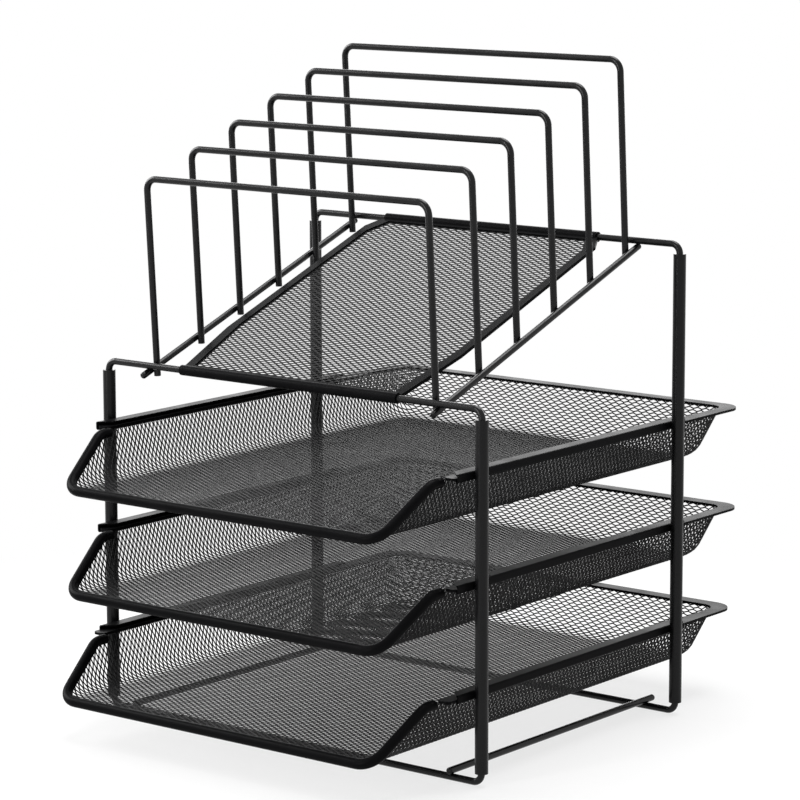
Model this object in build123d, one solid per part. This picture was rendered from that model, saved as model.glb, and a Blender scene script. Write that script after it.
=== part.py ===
"""Desk letter rack of black powder-coated steel.

A bent-wire and tube frame carries three sliding trays of expanded steel mesh.
On top, a sloping mesh shelf with six wire dividers sorts files.
Millimetres. X runs to the right, Y to the back and Z up. The rack stands on Z = 0.
"""
import math
import os

from build123d import *

# Wire and tube of the frame
wire_diameter = 4.0
bend_radius = 5.5
post_diameter = 7.5
plug_length = 20.0

# Where the four posts stand, and how high the cross bars are
post_spacing_x = 276.0
post_spacing_y = 192.0
front_bar_height = 211.0
rear_bar_height = 282.0

# Base wires that join the two hoops on the desk
base_wire_inset = 20.0
base_wire_front_overhang = 4.0
base_wire_rear_overhang = 6.0
wire_end_rounding = 1.2

# Rails: folded sheet channels, open towards the trays
rail_sheet = 0.9
rail_height = 5.0
rail_width = 8.0
rail_fold_radius = 1.2
rail_front_overhang = 16.0
rail_rear_overhang = 13.5
rail_corner_cut = 6.5
top_rail_height = 177.0
tray_pitch = 61.5
tray_names = ("top", "middle", "bottom")

# Trays
tray_front = 158.0
tray_back = 177.0
tray_depth = 28.0
rim_sheet = 1.5
rim_width = 8.5
rim_corner_radius = 14.0
rim_end_radius = 3.0
mesh_sheet = 1.0
mesh_under_rim = 0.8
side_wall_run = 8.0
rear_wall_run = 15.0
floor_fillet = 11.0
wall_corner_radius = 12.0
front_edge_diameter = 6.0
front_edge_corner = 12.0
front_edge_end = 8.0
front_slope_run = 37.0
bottom_tray_drawn = 6.5

# Openings of the expanded mesh, drawn coarser than the real diamonds
mesh_border = 4.0
wall_border = 2.0
opening_share = 0.84
floor_columns = 4
floor_rows = 11
side_openings = 6
rear_openings = 4
shelf_columns = 4
shelf_rows = 9

# File sorter
sorter_wire_inset = 30.6
sorter_wire_front_overhang = 4.5
sorter_wire_rear_overhang = 3.0
divider_count = 6
first_divider_space = 39.0
divider_pitch = 35.8
divider_rise = 113.5
divider_lean = 3.5
divider_bend_radius = 7.0
divider_foot = 3.5
shelf_width = 174.0
shelf_corner_cut = 7.0
shelf_front_taper = 52.0
shelf_rear_taper = 14.0
hem_width = 5.5
hem_sheet = 2.0
hem_tube_wall = 1.0

# Clearances
weld_gap = 0.05
plug_clearance = 0.1
side_clearance = 0.5
seat_clearance = 0.3
edge_gap = 0.1

# Derived places
wire_radius = wire_diameter / 2
post_radius = post_diameter / 2
post_x = post_spacing_x / 2
post_y = post_spacing_y / 2
post_foot = wire_radius + bend_radius
rail_face_x = post_x - post_radius - weld_gap
rail_front = -post_y - rail_front_overhang
rail_rear = post_y + rail_rear_overhang
rim_half_width = rail_face_x - rail_sheet - side_clearance
touching = wire_diameter + weld_gap
front_edge_rise = tray_depth - mesh_sheet / 2 + rim_sheet - front_edge_diameter / 2

# A wall's openings lie between its foot fillet and a border under the rim
wall_net_share = 1 - (floor_fillet + mesh_sheet + wall_border) / tray_depth
wall_net_middle = wall_net_share / 2 + wall_border / tray_depth

# The trays reach past the posts, so the posts move along Y to keep the whole rack centred
rack_shift = (tray_front + front_edge_diameter / 2 + bottom_tray_drawn - tray_back) / 2


def bent_wire(points, diameter, radius):
    """A round wire along straight runs, with the same bend at each corner."""
    path = FilletPolyline(*points, radius=radius)
    section = Plane(origin=path @ 0, z_dir=path % 0) * Circle(diameter / 2)
    return sweep(section, path=path)


def straight_wire(start, end, rounding):
    """A straight round wire with softened ends."""
    axis = Vector(*end) - Vector(*start)
    place = Plane(origin=start, z_dir=axis)
    rod = Cylinder(wire_radius, axis.length, align=(Align.CENTER, Align.CENTER, Align.MIN))
    rod = fillet(rod.edges().filter_by(GeomType.CIRCLE), rounding)
    return place * rod


def hoop_bar(y, level, inward):
    """A cross bar whose two ends bend and plug into the posts."""
    leg_end = level + inward * (bend_radius + plug_length)
    points = [
        (-post_x, y, leg_end),
        (-post_x, y, level),
        (post_x, y, level),
        (post_x, y, leg_end),
    ]
    return bent_wire(points, wire_diameter, bend_radius)


def post(x, y, bar_height):
    """A round tube that takes the bent ends of the upper and lower bars."""
    length = bar_height - bend_radius - post_foot
    bore = wire_radius + plug_clearance
    upright = (Align.CENTER, Align.CENTER, Align.MIN)
    tube = Cylinder(post_radius, length, align=upright) - Cylinder(bore, length, align=upright)
    return Pos(x, y, post_foot) * tube


def base_wire(side):
    """A wire that lies on both lower bars."""
    x = side * (post_x - base_wire_inset)
    z = wire_radius + touching
    start = (x, -post_y - base_wire_front_overhang, z)
    end = (x, post_y + base_wire_rear_overhang, z)
    return straight_wire(start, end, wire_end_rounding)


def rail(side, top):
    """A channel on the inner faces of two posts, with its front corners cut to a point."""
    length = rail_rear - rail_front
    outer = Pos(-rail_width / 2, -rail_height / 2) * Rectangle(rail_width, rail_height)
    outer = fillet(outer.vertices().group_by(Axis.X)[-1], rail_fold_radius)
    gap_width = rail_width - rail_sheet
    gap = Pos(-rail_sheet - gap_width / 2, -rail_height / 2)
    gap *= Rectangle(gap_width, rail_height - 2 * rail_sheet)
    channel = extrude(Plane.XZ * (outer - gap), -length)
    tip = Polygon((0, 0), (rail_corner_cut, 0), (0, rail_corner_cut), align=None)
    cut = extrude(Pos(-rail_width, 0, -rail_height) * tip, rail_height)
    channel = Pos(rail_face_x, rail_front, top) * (channel - cut)
    return channel if side > 0 else mirror(channel, about=Plane.YZ)


def basket_block(inset, rim_bottom):
    """The solid that a tray's outer face encloses, shrunk by an inset. It runs on past the front."""
    lean_x = math.hypot(side_wall_run, tray_depth) / tray_depth
    lean_y = math.hypot(rear_wall_run, tray_depth) / tray_depth
    top_x = rim_half_width - rim_width + mesh_under_rim - inset * lean_x
    top_y = tray_back - rim_width + mesh_under_rim - inset * lean_y
    front = -tray_front - 2 * tray_depth
    floor = rim_bottom - tray_depth + inset
    grow = inset / tray_depth
    low_x = top_x - side_wall_run * (1 - grow)
    low_y = top_y - rear_wall_run * (1 - grow)
    low = Pos(0, (low_y + front) / 2, floor)
    low *= RectangleRounded(2 * low_x, low_y - front, wall_corner_radius)
    high = Pos(0, (top_y + front) / 2, rim_bottom)
    high *= RectangleRounded(2 * top_x, top_y - front, wall_corner_radius)
    block = loft([low, high])
    return fillet(block.faces().sort_by(Axis.Z)[0].edges(), floor_fillet - inset)


def front_edge_tube(rim_bottom, allowance):
    """The round edge of the open front: down one slope, along the floor and up the other slope."""
    floor = rim_bottom - tray_depth + mesh_sheet / 2
    top = floor + front_edge_rise
    high_x = rail_face_x - rail_width - side_clearance - front_edge_diameter / 2
    low_x = high_x - side_wall_run
    slope_top = -tray_front + front_slope_run
    end = slope_top + front_edge_end + allowance
    points = [
        (-high_x, end, top),
        (-high_x, slope_top, top),
        (-low_x, -tray_front, floor),
        (low_x, -tray_front, floor),
        (high_x, slope_top, top),
        (high_x, end, top),
    ]
    return bent_wire(points, front_edge_diameter + 2 * allowance, front_edge_corner)


def diamond_net(plane, width, length, columns, rows):
    """Cutter for staggered diamonds that fill a flat field, halved at its edges, with bonds between them."""
    pitch_x = width / columns
    pitch_y = length / rows
    reach_x = opening_share * pitch_x / 2
    reach_y = opening_share * pitch_y / 2
    diamond = Polygon((reach_x, 0), (0, reach_y), (-reach_x, 0), (0, -reach_y), align=None)
    field = Rectangle(width, length)
    places = list(GridLocations(pitch_x, pitch_y, columns, rows))
    places += list(GridLocations(pitch_x, pitch_y, columns + 1, rows + 1))
    openings = [place * diamond & field for place in places]
    return [plane * extrude(opening, 2 * mesh_sheet, both=True) for opening in openings]


def wall_net(top_edge, out, run, length, count):
    """Cutter for one row of diamonds between the fillet and the rim of a sloping wall."""
    up = Vector(out.X * run, out.Y * run, tray_depth)
    along = Vector(-out.Y, out.X, 0)
    plane = Plane(origin=top_edge - up * wall_net_middle, x_dir=along, z_dir=along.cross(up))
    return diamond_net(plane, length, wall_net_share * up.length, count, 1)


def tray_mesh(rim_bottom):
    """The pressed basket of mesh sheet: floor, two sloping sides and a sloping back."""
    basket = basket_block(0, rim_bottom) - basket_block(mesh_sheet, rim_bottom)
    floor = rim_bottom - tray_depth + mesh_sheet / 2
    slope = Vector(0, front_slope_run, front_edge_rise)
    across = Vector(1, 0, 0)
    front_plane = Plane(origin=(0, -tray_front, floor), x_dir=across, z_dir=across.cross(slope))
    basket = split(basket, front_plane, keep=Keep.BOTTOM)
    basket -= front_edge_tube(rim_bottom, edge_gap)

    # Openings in the flat floor, clear of the fillets and the front edge
    top_x = rim_half_width - rim_width + mesh_under_rim
    top_y = tray_back - rim_width + mesh_under_rim
    width = 2 * (top_x - side_wall_run - floor_fillet - mesh_border)
    rear = top_y - rear_wall_run - floor_fillet - mesh_border
    front = -tray_front + front_edge_diameter + mesh_border
    floor_plane = Plane(origin=(0, (front + rear) / 2, floor))
    cuts = diamond_net(floor_plane, width, rear - front, floor_columns, floor_rows)

    # Openings in the three walls
    wall_front = -tray_front + front_slope_run + front_edge_end
    wall_rear = rear + rear_wall_run / 2
    wall_middle = (wall_front + wall_rear) / 2
    for side in (-1, 1):
        edge = Vector(side * top_x, wall_middle, rim_bottom)
        cuts += wall_net(edge, Vector(side, 0, 0), side_wall_run, wall_rear - wall_front, side_openings)
    edge = Vector(0, top_y, rim_bottom)
    cuts += wall_net(edge, Vector(0, 1, 0), rear_wall_run, width, rear_openings)
    return basket.cut(*cuts)


def tray_rim(rim_bottom):
    """The flat rim round both sides and the back, which runs in the rails."""
    front = -tray_front + front_slope_run + front_edge_end + edge_gap
    outer = Pos(0, (tray_back + front) / 2) * Rectangle(2 * rim_half_width, tray_back - front)
    outer = fillet(outer.vertices().group_by(Axis.Y)[-1], rim_corner_radius)
    inner_back = tray_back - rim_width
    inner = Pos(0, (inner_back + front) / 2)
    inner *= Rectangle(2 * (rim_half_width - rim_width), inner_back - front)
    inner = fillet(inner.vertices().group_by(Axis.Y)[-1], rim_corner_radius - rim_width / 2)
    flat = outer - inner
    flat = fillet(flat.vertices().group_by(Axis.Y)[0], rim_end_radius)
    return Pos(0, 0, rim_bottom) * extrude(flat, rim_sheet)


slope_angle = math.atan2(rear_bar_height - front_bar_height, post_spacing_y)
sorter_wire_x = post_x - sorter_wire_inset
divider_x = sorter_wire_x - touching


def sorter_wire_level(y):
    """Height of a sloping wire's centre, under the front and rear bars."""
    return front_bar_height - touching / math.cos(slope_angle) + math.tan(slope_angle) * (y + post_y)


def sorter_wire(side):
    """A sloping wire under both bars that carries the dividers."""
    front = -post_y - sorter_wire_front_overhang
    rear = post_y + sorter_wire_rear_overhang
    x = side * sorter_wire_x
    start = (x, front, sorter_wire_level(front))
    end = (x, rear, sorter_wire_level(rear))
    return straight_wire(start, end, wire_end_rounding)


# The first divider's legs touch the back of the front bar
lean_angle = math.radians(divider_lean)
first_divider_y = -post_y + touching * (1 + math.sin(lean_angle) / math.cos(slope_angle)) / (
    math.cos(lean_angle) + math.sin(lean_angle) * math.tan(slope_angle)
)


def divider(number):
    """An upturned U of wire, welded to the inner sides of the sloping wires and leaning forward."""
    y = first_divider_y
    if number > 0:
        y += first_divider_space + (number - 1) * divider_pitch
    points = [
        (-divider_x, 0, -divider_foot),
        (-divider_x, 0, divider_rise),
        (divider_x, 0, divider_rise),
        (divider_x, 0, -divider_foot),
    ]
    hoop = bent_wire(points, wire_diameter, divider_bend_radius)
    return Pos(0, y, sorter_wire_level(y)) * Rot(divider_lean, 0, 0) * hoop


shelf_plane = Plane(
    origin=(0, 0, (front_bar_height + rear_bar_height) / 2),
    x_dir=(1, 0, 0),
    z_dir=(0, -math.sin(slope_angle), math.cos(slope_angle)),
)
shelf_reach = math.hypot(post_spacing_y, rear_bar_height - front_bar_height) / 2


def shelf_outline(inset):
    """The shelf's outline on its slope. It narrows to the front bar and, in a shorter run, to the rear bar."""
    x = shelf_width / 2 - inset
    y = shelf_reach - inset
    points = [
        (x - shelf_corner_cut, -y),
        (x, -y + shelf_front_taper),
        (x, y - shelf_rear_taper),
        (x - shelf_corner_cut, y),
    ]
    points += [(-px, py) for px, py in reversed(points)]
    return Polygon(*points, align=None)


def shelf_hem():
    """The folded border of the shelf, rolled round the front and rear bars."""
    ring = shelf_outline(0) - shelf_outline(hem_width)
    border = extrude(ring, hem_sheet / 2, both=True)
    roll_length = shelf_width - 2 * shelf_corner_cut
    bar = wire_radius + weld_gap
    for end in (-shelf_reach, shelf_reach):
        along = Pos(0, end, 0) * Rot(0, 90, 0)
        border += along * Cylinder(bar + hem_tube_wall, roll_length)
    for end in (-shelf_reach, shelf_reach):
        border -= Pos(0, end, 0) * Rot(0, 90, 0) * Cylinder(bar, shelf_width)
    return shelf_plane * border


def shelf_mesh():
    """The flat sheet of mesh inside the hem."""
    sheet = shelf_plane * extrude(shelf_outline(hem_width), mesh_sheet / 2, both=True)
    width = shelf_width - 2 * (hem_width + shelf_corner_cut) - mesh_border
    length = 2 * (shelf_reach - hem_width - mesh_border)
    return sheet.cut(*diamond_net(shelf_plane, width, length, shelf_columns, shelf_rows))


def save(node, solid, drawn=0.0):
    """Writes one piece, moved so that the rack stays centred and a tray sits as far out as drawn."""
    export_step(Pos(0, rack_shift - drawn, 0) * solid, os.path.join("parts", node + ".step"))


def main():
    os.makedirs("parts", exist_ok=True)

    # Hoops, posts and base wires
    save("front_top_bar", hoop_bar(-post_y, front_bar_height, -1))
    save("front_bottom_bar", hoop_bar(-post_y, wire_radius, 1))
    save("rear_top_bar", hoop_bar(post_y, rear_bar_height, -1))
    save("rear_bottom_bar", hoop_bar(post_y, wire_radius, 1))
    for side, hand in ((-1, "left"), (1, "right")):
        save("post_front_" + hand, post(side * post_x, -post_y, front_bar_height))
        save("post_rear_" + hand, post(side * post_x, post_y, rear_bar_height))
        save("base_wire_" + hand, base_wire(side))
        save("sorter_wire_" + hand, sorter_wire(side))

    # Rails and the trays that run in them
    for level, name in enumerate(tray_names):
        top = top_rail_height - level * tray_pitch
        for side, hand in ((-1, "left"), (1, "right")):
            save("rail_" + name + "_" + hand, rail(side, top))
        rim_bottom = top - rail_height + rail_sheet + seat_clearance
        drawn = bottom_tray_drawn if name == tray_names[-1] else 0.0
        save("tray_" + name + "_mesh", tray_mesh(rim_bottom), drawn)
        save("tray_" + name + "_rim", tray_rim(rim_bottom), drawn)
        save("tray_" + name + "_front_edge", front_edge_tube(rim_bottom, 0), drawn)

    # Sorter on top
    for number in range(divider_count):
        save("divider_" + str(number + 1), divider(number))
    save("shelf_hem", shelf_hem())
    save("shelf_mesh", shelf_mesh())


main()
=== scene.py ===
"""Looks of the desk letter rack: expanded steel mesh, coated wire, light and camera.

Metres, in the frame of the CAD model. X runs to the right, Y to the back and Z up.
"""

import math

import bmesh
import bpy
from mathutils import Matrix, Vector


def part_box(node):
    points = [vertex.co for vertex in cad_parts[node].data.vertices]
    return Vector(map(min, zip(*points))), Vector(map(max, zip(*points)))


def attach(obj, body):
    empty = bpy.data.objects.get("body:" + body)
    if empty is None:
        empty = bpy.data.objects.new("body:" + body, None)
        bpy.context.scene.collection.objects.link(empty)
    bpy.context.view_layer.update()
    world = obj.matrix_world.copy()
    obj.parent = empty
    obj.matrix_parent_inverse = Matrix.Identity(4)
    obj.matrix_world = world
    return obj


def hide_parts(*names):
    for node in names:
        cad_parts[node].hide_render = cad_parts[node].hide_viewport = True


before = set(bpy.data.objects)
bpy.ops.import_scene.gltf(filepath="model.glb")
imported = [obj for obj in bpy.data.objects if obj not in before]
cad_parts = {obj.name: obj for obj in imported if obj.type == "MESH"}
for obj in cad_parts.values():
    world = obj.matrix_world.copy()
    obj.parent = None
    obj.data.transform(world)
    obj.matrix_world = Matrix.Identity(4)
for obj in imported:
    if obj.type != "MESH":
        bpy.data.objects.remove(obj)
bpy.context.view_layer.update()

mm = 0.001
tray_names = ("top", "middle", "bottom")

# Expanded mesh: long and short pitch of the diamonds, the strand's section, how far a strand is off
# the middle of a bond, and the bond's lean
mesh_long_pitch = 6.0 * mm
mesh_short_pitch = 3.45 * mm
strand_width = 0.8 * mm
strand_thickness = 0.38 * mm
strand_offset = 0.46 * strand_width
bond_lean = math.radians(-3)
weld_distance = 0.01 * mm

# Pressed basket of a tray, as the CAD model has it
mesh_sheet = 1.0 * mm
side_wall_run = 8.0 * mm
rear_wall_run = 15.0 * mm
floor_fillet = 10.5 * mm
wall_corner_radius = 11.5 * mm
front_slope_run = 37.0 * mm
front_slope_rise = 26.0 * mm
front_edge_diameter = 6.0 * mm
mesh_into_rim = 0.7 * mm
guide_step = 2.0 * mm
guide_margin = 2.0 * mm

# Sorter shelf: its hem, its tapers and how far the mesh reaches into the hem
wire_diameter = 4.0 * mm
hem_width = 5.5 * mm
mesh_under_hem = 3.5 * mm
shelf_corner_cut = 7.0 * mm
shelf_front_taper = 52.0 * mm
shelf_rear_taper = 14.0 * mm

# Powder coat: its cloudy patches, how far their roughness falls and rises, and its orange peel
cloud_size = 18.0 * mm
cloud_detail = 2.0
cloud_low = 0.3
cloud_high = 0.7
roughness_fall = 0.04
roughness_rise = 0.05
peel_detail = 3.0
peel_strength = 0.5

# Floor: its colour, where its shadow starts to fade, where it is all white, how white it is at least
# and its half size
floor_colour = "#f4f4f4"
shadow_reach = 0.25
white_reach = 0.5
shadow_lift = 0.75
floor_reach = 8.0

# Light: strength of the fill from all round, and each soft box's place, width, height and watts
white = "#ffffff"
fill_strength = 0.2
soft_boxes = {
    "key_light": ((-1.6, -0.5, 1.0), 0.9, 1.1, 36.0),
    "top_light": ((0.0, 0.5, 2.2), 1.4, 1.4, 52.0),
    "back_panel": ((-1.2, 1.6, 0.75), 2.4, 1.4, 26.0),
    "front_strip": ((-0.4, -2.0, 0.7), 0.24, 1.4, 16.0),
}

# Camera of the photograph
camera_lens_mm = 150.8
camera_sensor_mm = 36.0
camera_distance = 1.968
camera_azimuth = math.radians(38.25)
camera_elevation = math.radians(8.72)
camera_roll = math.radians(-0.12)
camera_target_x = 6.4 * mm
camera_target_z = 227.5 * mm
camera_shift = (-0.0011, -0.0803)
camera_far_limit = 50.0


def linear(hex_colour):
    """An sRGB hex colour as linear RGBA."""
    channels = [int(hex_colour[i:i + 2], 16) / 255 for i in (1, 3, 5)]
    return [c / 12.92 if c <= 0.04045 else ((c + 0.055) / 1.055) ** 2.4 for c in channels] + [1.0]


def add(tree, kind, settings=None, inputs=None):
    """Adds a node with its settings, its values and its links."""
    node = tree.nodes.new(kind)
    for name, value in (settings or {}).items():
        setattr(node, name, value)
    for name, value in (inputs or {}).items():
        if isinstance(value, bpy.types.NodeSocket):
            tree.links.new(value, node.inputs[name])
        else:
            node.inputs[name].default_value = value
    return node


# Materials

def powder_coat(name, colour, worn_colour, roughness, shine, grain, depth):
    """Satin powder coat: fine orange peel that breaks up the highlights, with softly uneven gloss."""
    material = bpy.data.materials.new(name)
    material.use_nodes = True
    tree = material.node_tree
    tree.nodes.clear()
    place = add(tree, "ShaderNodeTexCoord").outputs["Object"]
    peel = add(tree, "ShaderNodeTexNoise", inputs={
        "Vector": place, "Scale": 1 / grain, "Detail": peel_detail})
    cloud = add(tree, "ShaderNodeTexNoise", inputs={
        "Vector": place, "Scale": 1 / cloud_size, "Detail": cloud_detail})
    # Inputs 6 and 7 of the mix are its two colours, and output 2 is the result
    tone = add(tree, "ShaderNodeMix", {"data_type": "RGBA"}, {
        "Factor": cloud.outputs["Fac"], 6: linear(colour), 7: linear(worn_colour)})
    gloss = add(tree, "ShaderNodeMapRange", inputs={
        "Value": cloud.outputs["Fac"], "From Min": cloud_low, "From Max": cloud_high,
        "To Min": roughness - roughness_fall, "To Max": roughness + roughness_rise})
    bump = add(tree, "ShaderNodeBump", inputs={
        "Height": peel.outputs["Fac"], "Strength": peel_strength, "Distance": depth})
    shader = add(tree, "ShaderNodeBsdfPrincipled", inputs={
        "Base Color": tone.outputs[2], "Roughness": gloss.outputs["Result"],
        "Normal": bump.outputs["Normal"], "Specular IOR Level": shine})
    add(tree, "ShaderNodeOutputMaterial", inputs={"Surface": shader.outputs["BSDF"]})
    return material


def set_material(thing, material):
    """Gives every face of an object one material."""
    thing.data.materials.clear()
    thing.data.materials.append(material)


coats = {
    # Drawn wire holds a thick smooth coat, so it is the shiniest
    "coated_wire": powder_coat(
        "Powder_coat_on_wire", "#0b0b0c", "#111112",
        roughness=0.24, shine=0.22, grain=0.9 * mm, depth=0.012 * mm),
    # Tube has a little more peel than wire
    "coated_tube": powder_coat(
        "Powder_coat_on_tube", "#0b0b0c", "#101011",
        roughness=0.26, shine=0.18, grain=1.1 * mm, depth=0.015 * mm),
    # Flat sheet shows the peel most
    "coated_sheet": powder_coat(
        "Powder_coat_on_sheet", "#0a0a0b", "#0f0f10",
        roughness=0.36, shine=0.02, grain=1.2 * mm, depth=0.05 * mm),
    # Mesh strands take a thinner coat and look drier
    "coated_mesh": powder_coat(
        "Powder_coat_on_mesh", "#0a0a0b", "#0f0f10",
        roughness=0.6, shine=0.14, grain=0.7 * mm, depth=0.02 * mm),
}


# Expanded mesh

def mesh_object(name, vertices, faces):
    """A mesh object at the origin."""
    data = bpy.data.meshes.new(name)
    data.from_pydata([tuple(v) for v in vertices], [], faces)
    data.update()
    thing = bpy.data.objects.new(name, data)
    bpy.context.scene.collection.objects.link(thing)
    return thing


def strand_cell(long_pitch, short_pitch):
    """One repeat of the mesh: two bent strands that meet at a leaning bond in the middle."""
    across = Vector((0, math.cos(bond_lean), math.sin(bond_lean)))
    through = Vector((0, -math.sin(bond_lean), math.cos(bond_lean)))
    corners = [(-0.5, -0.5), (0.5, -0.5), (0.5, 0.5), (-0.5, 0.5)]
    vertices, faces = [], []
    for side in (-1, 1):
        first = len(vertices)
        for place, bond_side in ((-0.5, -side), (0, side), (0.5, -side)):
            bond = Vector((place * long_pitch, side * abs(place) * short_pitch, 0))
            middle = bond + across * (bond_side * strand_offset)
            vertices += [middle + across * (a * strand_width) + through * (b * strand_thickness)
                         for a, b in corners]
        for section in (first, first + 4):
            for i in range(4):
                j = (i + 1) % 4
                faces.append((section + i, section + j, section + 4 + j, section + 4 + i))
    return mesh_object("mesh_strand_cell", vertices, faces)


def expanded_mesh_tree():
    """Lays the strand cell out as a flat sheet, wraps it on a guide surface and trims it."""
    tree = bpy.data.node_groups.new("expanded_mesh", "GeometryNodeTree")
    for name, kind in (
        ("Guide", "NodeSocketObject"), ("Cell", "NodeSocketObject"), ("Coat", "NodeSocketMaterial"),
        ("Columns", "NodeSocketInt"), ("Rows", "NodeSocketInt"),
        ("Long pitch", "NodeSocketFloat"), ("Short pitch", "NodeSocketFloat"),
        ("Weld distance", "NodeSocketFloat"), ("Guide size", "NodeSocketVector"),
        ("Top level", "NodeSocketFloat"),
        ("Front point", "NodeSocketVector"), ("Front direction", "NodeSocketVector"),
    ):
        tree.interface.new_socket(name, in_out="INPUT", socket_type=kind)
    tree.interface.new_socket("Mesh", in_out="OUTPUT", socket_type="NodeSocketGeometry")
    given = add(tree, "NodeGroupInput").outputs

    # Flat sheet of cells, centred on the origin
    columns_between = add(tree, "ShaderNodeMath", {"operation": "SUBTRACT"}, {
        0: given["Columns"], 1: 1.0})
    across = add(tree, "ShaderNodeMath", {"operation": "MULTIPLY"}, {
        0: columns_between.outputs[0], 1: given["Long pitch"]})
    rows_between = add(tree, "ShaderNodeMath", {"operation": "SUBTRACT"}, {
        0: given["Rows"], 1: 1.0})
    along = add(tree, "ShaderNodeMath", {"operation": "MULTIPLY"}, {
        0: rows_between.outputs[0], 1: given["Short pitch"]})
    grid = add(tree, "GeometryNodeMeshGrid", inputs={
        "Size X": across.outputs[0], "Size Y": along.outputs[0],
        "Vertices X": given["Columns"], "Vertices Y": given["Rows"]})
    cell = add(tree, "GeometryNodeObjectInfo", inputs={"Object": given["Cell"]})
    cells = add(tree, "GeometryNodeInstanceOnPoints", inputs={
        "Points": grid.outputs["Mesh"], "Instance": cell.outputs["Geometry"]})
    loose = add(tree, "GeometryNodeRealizeInstances", inputs={"Geometry": cells.outputs["Instances"]})
    sheet = add(tree, "GeometryNodeMergeByDistance", inputs={
        "Geometry": loose.outputs["Geometry"], "Distance": given["Weld distance"]})

    # The guide's flat map says where each point of the sheet lands
    guide = add(tree, "GeometryNodeObjectInfo", inputs={"Object": given["Guide"]})
    flat = add(tree, "GeometryNodeInputNamedAttribute", {"data_type": "FLOAT_VECTOR"}, {"Name": "flat"})
    position = add(tree, "GeometryNodeInputPosition")
    share = add(tree, "ShaderNodeVectorMath", {"operation": "DIVIDE"}, {
        0: position.outputs[0], 1: given["Guide size"]})
    spot = add(tree, "ShaderNodeVectorMath", {"operation": "ADD"}, {
        0: share.outputs[0], 1: (0.5, 0.5, 0.0)})
    landing = add(tree, "GeometryNodeSampleUVSurface", {"data_type": "FLOAT_VECTOR"}, {
        "Mesh": guide.outputs["Geometry"], "Value": position.outputs[0],
        "UV Map": flat.outputs["Attribute"], "Sample UV": spot.outputs[0]})
    normal = add(tree, "GeometryNodeInputNormal")
    facing = add(tree, "GeometryNodeSampleUVSurface", {"data_type": "FLOAT_VECTOR"}, {
        "Mesh": guide.outputs["Geometry"], "Value": normal.outputs[0],
        "UV Map": flat.outputs["Attribute"], "Sample UV": spot.outputs[0]})
    height = add(tree, "ShaderNodeSeparateXYZ", inputs={0: position.outputs[0]})
    lift = add(tree, "ShaderNodeVectorMath", {"operation": "SCALE"}, {
        0: facing.outputs[0], "Scale": height.outputs["Z"]})
    target = add(tree, "ShaderNodeVectorMath", {"operation": "ADD"}, {
        0: landing.outputs[0], 1: lift.outputs[0]})
    outside = add(tree, "FunctionNodeBooleanMath", {"operation": "NOT"}, {
        0: landing.outputs["Is Valid"]})
    inside = add(tree, "GeometryNodeDeleteGeometry", {"domain": "POINT"}, {
        "Geometry": sheet.outputs["Geometry"], "Selection": outside.outputs[0]})
    pressed = add(tree, "GeometryNodeSetPosition", inputs={
        "Geometry": inside.outputs["Geometry"], "Position": target.outputs[0]})

    # Trim along the rim and the sloping front
    above = add(tree, "FunctionNodeCompare", {"data_type": "FLOAT", "operation": "GREATER_THAN"}, {
        0: height.outputs["Z"], 1: given["Top level"]})
    ahead = add(tree, "ShaderNodeVectorMath", {"operation": "SUBTRACT"}, {
        0: position.outputs[0], 1: given["Front point"]})
    reach = add(tree, "ShaderNodeVectorMath", {"operation": "DOT_PRODUCT"}, {
        0: ahead.outputs[0], 1: given["Front direction"]})
    beyond = add(tree, "FunctionNodeCompare", {"data_type": "FLOAT", "operation": "GREATER_THAN"}, {
        0: reach.outputs["Value"], 1: 0.0})
    spare = add(tree, "FunctionNodeBooleanMath", {"operation": "OR"}, {
        0: above.outputs[0], 1: beyond.outputs[0]})
    trimmed = add(tree, "GeometryNodeDeleteGeometry", {"domain": "POINT"}, {
        "Geometry": pressed.outputs["Geometry"], "Selection": spare.outputs[0]})
    real = add(tree, "GeometryNodeRealizeInstances", inputs={"Geometry": trimmed.outputs["Geometry"]})
    coated = add(tree, "GeometryNodeSetMaterial", inputs={
        "Geometry": real.outputs["Geometry"], "Material": given["Coat"]})
    add(tree, "NodeGroupOutput", inputs={"Mesh": coated.outputs["Geometry"]})
    return tree


def close_ends(data):
    """Takes off half-cut ends, so that each strand stops at a whole section, and caps that section."""
    strands = bmesh.new()
    strands.from_mesh(data)
    torn = strands.faces[:]
    while torn:
        torn = [face for face in strands.faces if sum(edge.is_boundary for edge in face.edges) > 1]
        bmesh.ops.delete(strands, geom=torn, context="FACES")
    loose = [vertex for vertex in strands.verts if not vertex.link_faces]
    bmesh.ops.delete(strands, geom=loose, context="VERTS")
    open_edges = [edge for edge in strands.edges if edge.is_boundary]
    bmesh.ops.holes_fill(strands, edges=open_edges, sides=4)
    bmesh.ops.recalc_face_normals(strands, faces=strands.faces)
    strands.to_mesh(data)
    strands.free()


def lay_mesh(name, tree, values):
    """Runs the mesh tree with named inputs and keeps its result as a plain mesh object."""
    carrier = mesh_object(name, [], [])
    modifier = carrier.modifiers.new("expanded_mesh", "NODES")
    modifier.node_group = tree
    for item in tree.interface.items_tree:
        if item.in_out == "INPUT":
            modifier[item.identifier] = values[item.name]
    carrier.update_tag()
    graph = bpy.context.evaluated_depsgraph_get()
    baked = bpy.data.meshes.new_from_object(carrier.evaluated_get(graph))
    close_ends(baked)
    carrier.modifiers.clear()
    empty = carrier.data
    carrier.data = baked
    baked.name = name
    bpy.data.meshes.remove(empty)
    return carrier


def guide_surface(name, vertices, faces, shares):
    """A surface for the mesh to lie on, with each vertex's place on the flat sheet as a map."""
    guide = mesh_object(name, vertices, faces)
    flat = guide.data.uv_layers.new(name="flat")
    for loop in guide.data.loops:
        flat.data[loop.index].uv = shares[loop.vertex_index]
    guide.data.polygons.foreach_set("use_smooth", [True] * len(faces))
    return guide


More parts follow.
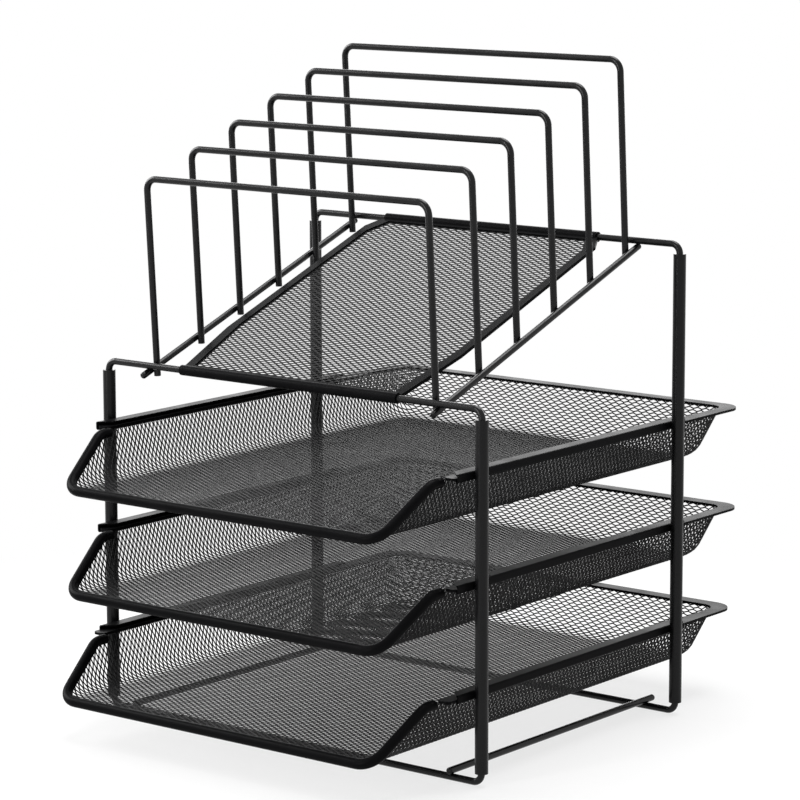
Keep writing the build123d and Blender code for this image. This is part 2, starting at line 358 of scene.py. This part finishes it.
class Wall:
    """Section of a basket's floor and one wall: flat, then a fillet, then a straight slope."""

    def __init__(self, floor_edge, run, rise):
        self.floor_edge, self.run, self.rise = floor_edge, run, rise
        self.angle = math.atan2(rise, run)
        self.tangent = floor_fillet * math.tan(self.angle / 2)
        self.flat = floor_edge - self.tangent
        self.length = self.flat + floor_fillet * self.angle + math.hypot(run, rise) - self.tangent

    def out(self, distance):
        """How far out a point is that lies this far along the sheet."""
        bend = floor_fillet * self.angle
        if distance <= self.flat:
            return distance
        if distance <= self.flat + bend:
            return self.flat + floor_fillet * math.sin((distance - self.flat) / floor_fillet)
        return self.flat + floor_fillet * math.sin(self.angle) + (
            distance - self.flat - bend) * math.cos(self.angle)


def fillet_height(run, rise, level):
    """Height over the floor at a share of the wall's run, with the fillet at its foot."""
    angle = math.atan2(rise, run)
    tangent = floor_fillet * math.tan(angle / 2)
    reach = level * run + tangent
    if reach <= 0:
        return 0.0
    if reach < floor_fillet * math.sin(angle):
        return floor_fillet - math.sqrt(floor_fillet ** 2 - reach ** 2)
    return level * rise


def basket_height(x, y, side, rear):
    """Height of the pressed sheet over its floor, with rounded rear corners."""
    x = abs(x)
    side_level = (x - side.floor_edge) / side.run
    rear_level = (y - rear.floor_edge) / rear.run
    level = max(side_level, rear_level)
    run = side.run if side_level >= rear_level else rear.run

    # In a rear corner the level is where the growing corner circle meets the point
    past_x = x - side.floor_edge + wall_corner_radius
    past_y = y - rear.floor_edge + wall_corner_radius
    if past_x - level * side.run > 0 and past_y - level * rear.run > 0:
        square = side.run ** 2 + rear.run ** 2
        half = past_x * side.run + past_y * rear.run
        rest = past_x * past_x + past_y * past_y - wall_corner_radius ** 2
        level = (half - math.sqrt(max(half ** 2 - square * rest, 0))) / square
        share = ((past_x - level * side.run) / wall_corner_radius) ** 2
        run = side.run * share + rear.run * (1 - share)
    return fillet_height(run, side.rise, level)


def cut_to_fit(width, length):
    """Counts of whole cells for a sheet, and the pitches that make them fill it."""
    columns, rows = round(width / mesh_long_pitch), round(length / mesh_short_pitch)
    return columns, rows, width / columns, length / rows


def lay_sheet(name, tree, guide, guide_size, sheet_size, trim):
    """Fills one guide surface with mesh. Only the plain result is kept."""
    columns, rows, long_pitch, short_pitch = cut_to_fit(*sheet_size)
    cell = strand_cell(long_pitch, short_pitch)
    sheet = lay_mesh(name, tree, {
        "Guide": guide, "Cell": cell, "Coat": coats["coated_mesh"], "Columns": columns, "Rows": rows,
        "Long pitch": long_pitch, "Short pitch": short_pitch, "Weld distance": weld_distance,
        "Guide size": (*guide_size, 1.0), **trim})
    bpy.data.objects.remove(guide)
    bpy.data.objects.remove(cell)
    return sheet


def tray_sheet(name, tree):
    """The expanded mesh of one tray, pressed to the shape of its CAD sheet."""
    # Floor and walls are taken at the middle of the CAD sheet's thickness
    low, high = (Vector(corner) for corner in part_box("tray_" + name + "_mesh"))
    depth = high.z - low.z
    floor = low.z + mesh_sheet / 2
    rise = high.z - floor
    share = rise / depth
    side_top = high.x - mesh_sheet / 2 * math.hypot(side_wall_run, depth) / depth
    rear_top = high.y - mesh_sheet / 2 * math.hypot(rear_wall_run, depth) / depth
    side = Wall(side_top - side_wall_run * share, side_wall_run * share, rise)
    rear = Wall(rear_top - rear_wall_run * share, rear_wall_run * share, rise)
    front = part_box("tray_" + name + "_front_edge")[0][1] + front_edge_diameter / 2
    slope_normal = Vector((0, -front_slope_rise, front_slope_run)).normalized()

    # The sheet runs from the front edge up into the rim at the back, and into the rim at both sides
    width = 2 * (side.length + mesh_into_rim)
    length = rear.length + mesh_into_rim - front
    middle = front + length / 2
    guide_size = (width + 2 * guide_margin, length + 2 * guide_margin)
    columns, rows = (round(size / guide_step) for size in guide_size)
    shares = [(i / columns, j / rows) for j in range(rows + 1) for i in range(columns + 1)]
    vertices = []
    for a, b in shares:
        across = (a - 0.5) * guide_size[0]
        x = math.copysign(side.out(abs(across)), across)
        y = rear.out(middle + (b - 0.5) * guide_size[1])
        vertices.append((x, y, floor + basket_height(x, y, side, rear)))
    faces = [(c, c + 1, c + columns + 2, c + columns + 1)
             for c in range(rows * (columns + 1)) if c % (columns + 1) < columns]
    guide = guide_surface("guide_" + name, vertices, faces, shares)
    sheet = lay_sheet("tray_" + name + "_expanded_mesh", tree, guide, guide_size, (width, length), {
        "Top level": high.z + 2 * mesh_into_rim,
        "Front point": Vector((0, front, floor)) + slope_normal * strand_width,
        "Front direction": slope_normal,
    })
    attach(sheet, "tray_" + name)
    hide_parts("tray_" + name + "_mesh")


def shelf_sheet(tree, front_bar, rear_bar):
    """The expanded mesh of the sorter shelf, flat on the slope between the two upper bars."""
    slope = rear_bar - front_bar
    inset = hem_width - mesh_under_hem
    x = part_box("shelf_hem")[1][0] - inset
    y = slope.length / 2 - inset
    half = [(x - shelf_corner_cut, -y), (x, shelf_front_taper - y),
            (x, y - shelf_rear_taper), (x - shelf_corner_cut, y)]
    outline = half + [(-px, py) for px, py in reversed(half)]
    size = (2 * x, 2 * y)
    middle, along = (front_bar + rear_bar) / 2, slope.normalized()
    vertices = [middle + Vector((px, 0, 0)) + along * py for px, py in outline]
    shares = [(px / size[0] + 0.5, py / size[1] + 0.5) for px, py in outline]
    guide = guide_surface("guide_shelf", vertices, [tuple(range(len(outline)))], shares)
    sheet_size = (size[0] - strand_width, size[1] - strand_width)
    sheet = lay_sheet("shelf_expanded_mesh", tree, guide, size, sheet_size, {
        "Top level": rear_bar.z, "Front point": front_bar, "Front direction": (0.0, -1.0, 0.0)})
    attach(sheet, "rack")
    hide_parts("shelf_mesh")


def bar_middle(node):
    """Middle of an upper bar's straight run."""
    low, high = (Vector(corner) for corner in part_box(node))
    return Vector((0, (low.y + high.y) / 2, high.z - wire_diameter / 2))


front_bar, rear_bar = bar_middle("front_top_bar"), bar_middle("rear_top_bar")
mesh_tree = expanded_mesh_tree()
for tray_name in tray_names:
    tray_sheet(tray_name, mesh_tree)
shelf_sheet(mesh_tree, front_bar, rear_bar)


# Coat on the pieces that stay as the CAD model has them

def slot_of(node):
    """The finish that a CAD node takes."""
    if node.startswith("post_"):
        return "coated_tube"
    if node.startswith(("rail_", "shelf_hem")) or node.endswith(("_rim", "_front_edge")):
        return "coated_sheet"
    if node.endswith("_mesh"):
        return "coated_mesh"
    return "coated_wire"


for node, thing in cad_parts.items():
    set_material(thing, coats[slot_of(node)])


# Stage, light and camera

camera_target = Vector((camera_target_x, (front_bar.y + rear_bar.y) / 2, camera_target_z))


def seen_white(tree):
    """1 for rays of the camera, and of what it sees in gloss and glass, and 0 for light on the rack."""
    path = add(tree, "ShaderNodeLightPath").outputs
    gloss = add(tree, "ShaderNodeMath", {"operation": "MAXIMUM"}, {
        0: path["Is Camera Ray"], 1: path["Is Glossy Ray"]})
    glass = add(tree, "ShaderNodeMath", {"operation": "MAXIMUM"}, {
        0: gloss.outputs[0], 1: path["Is Transmission Ray"]})
    return glass.outputs[0]


def pale_floor():
    """Matt pale floor that takes soft shadows near the rack and runs out to white for the camera."""
    material = bpy.data.materials.new("Pale_floor")
    material.use_nodes = True
    tree = material.node_tree
    tree.nodes.clear()
    place = add(tree, "ShaderNodeTexCoord").outputs["Object"]
    distance = add(tree, "ShaderNodeVectorMath", {"operation": "LENGTH"}, {0: place})
    far = add(tree, "ShaderNodeMapRange", {"interpolation_type": "SMOOTHSTEP"}, {
        "Value": distance.outputs["Value"], "From Min": shadow_reach, "From Max": white_reach,
        "To Min": shadow_lift})
    share = add(tree, "ShaderNodeMath", {"operation": "MULTIPLY"}, {
        0: far.outputs["Result"], 1: seen_white(tree)})
    matt = add(tree, "ShaderNodeBsdfDiffuse", inputs={"Color": linear(floor_colour)})
    glow = add(tree, "ShaderNodeEmission", inputs={"Color": linear(white), "Strength": 1.0})
    mix = add(tree, "ShaderNodeMixShader", inputs={
        0: share.outputs[0], 1: matt.outputs[0], 2: glow.outputs[0]})
    add(tree, "ShaderNodeOutputMaterial", inputs={"Surface": mix.outputs[0]})
    return material


def stage_floor():
    """A wide floor under the rack."""
    corners = [(-1, -1), (1, -1), (1, 1), (-1, 1)]
    vertices = [(a * floor_reach, b * floor_reach, 0) for a, b in corners]
    floor = mesh_object("floor", vertices, [(0, 1, 2, 3)])
    set_material(floor, pale_floor())


def soft_light(name, place, width, height, power):
    """A soft box that faces the rack and stays out of the picture."""
    data = bpy.data.lights.new(name, "AREA")
    data.shape = "RECTANGLE"
    data.size, data.size_y = width, height
    data.energy = power
    lamp = bpy.data.objects.new(name, data)
    lamp.location = place
    lamp.rotation_euler = (camera_target - Vector(place)).to_track_quat("-Z", "Y").to_euler()
    lamp.visible_camera = False
    bpy.context.scene.collection.objects.link(lamp)


def white_world():
    """Dim fill light from all round, and a white background for the camera, gloss and glass."""
    world = bpy.data.worlds.new("White_studio")
    world.use_nodes = True
    tree = world.node_tree
    tree.nodes.clear()
    fill = add(tree, "ShaderNodeBackground", inputs={"Color": linear(white), "Strength": fill_strength})
    seen = add(tree, "ShaderNodeBackground", inputs={"Color": linear(white), "Strength": 1.0})
    mix = add(tree, "ShaderNodeMixShader", inputs={
        0: seen_white(tree), 1: fill.outputs[0], 2: seen.outputs[0]})
    add(tree, "ShaderNodeOutputWorld", inputs={"Surface": mix.outputs[0]})
    bpy.context.scene.world = world


def photo_camera():
    """The camera of the photograph, from the right and a little above."""
    data = bpy.data.cameras.new("camera")
    data.sensor_width = camera_sensor_mm
    data.lens = camera_lens_mm
    data.shift_x, data.shift_y = camera_shift
    data.clip_end = camera_far_limit
    camera = bpy.data.objects.new("camera", data)
    turn = Matrix.Rotation(camera_azimuth, 4, "Z") @ Matrix.Rotation(
        math.pi / 2 - camera_elevation, 4, "X") @ Matrix.Rotation(camera_roll, 4, "Z")
    back = turn @ Vector((0, 0, camera_distance))
    camera.matrix_world = Matrix.Translation(camera_target + back) @ turn
    bpy.context.scene.collection.objects.link(camera)
    bpy.context.scene.camera = camera


stage_floor()
white_world()
for name, (place, width, height, power) in soft_boxes.items():
    soft_light(name, place, width, height, power)
photo_camera()
bpy.context.scene.view_settings.view_transform = "Standard"
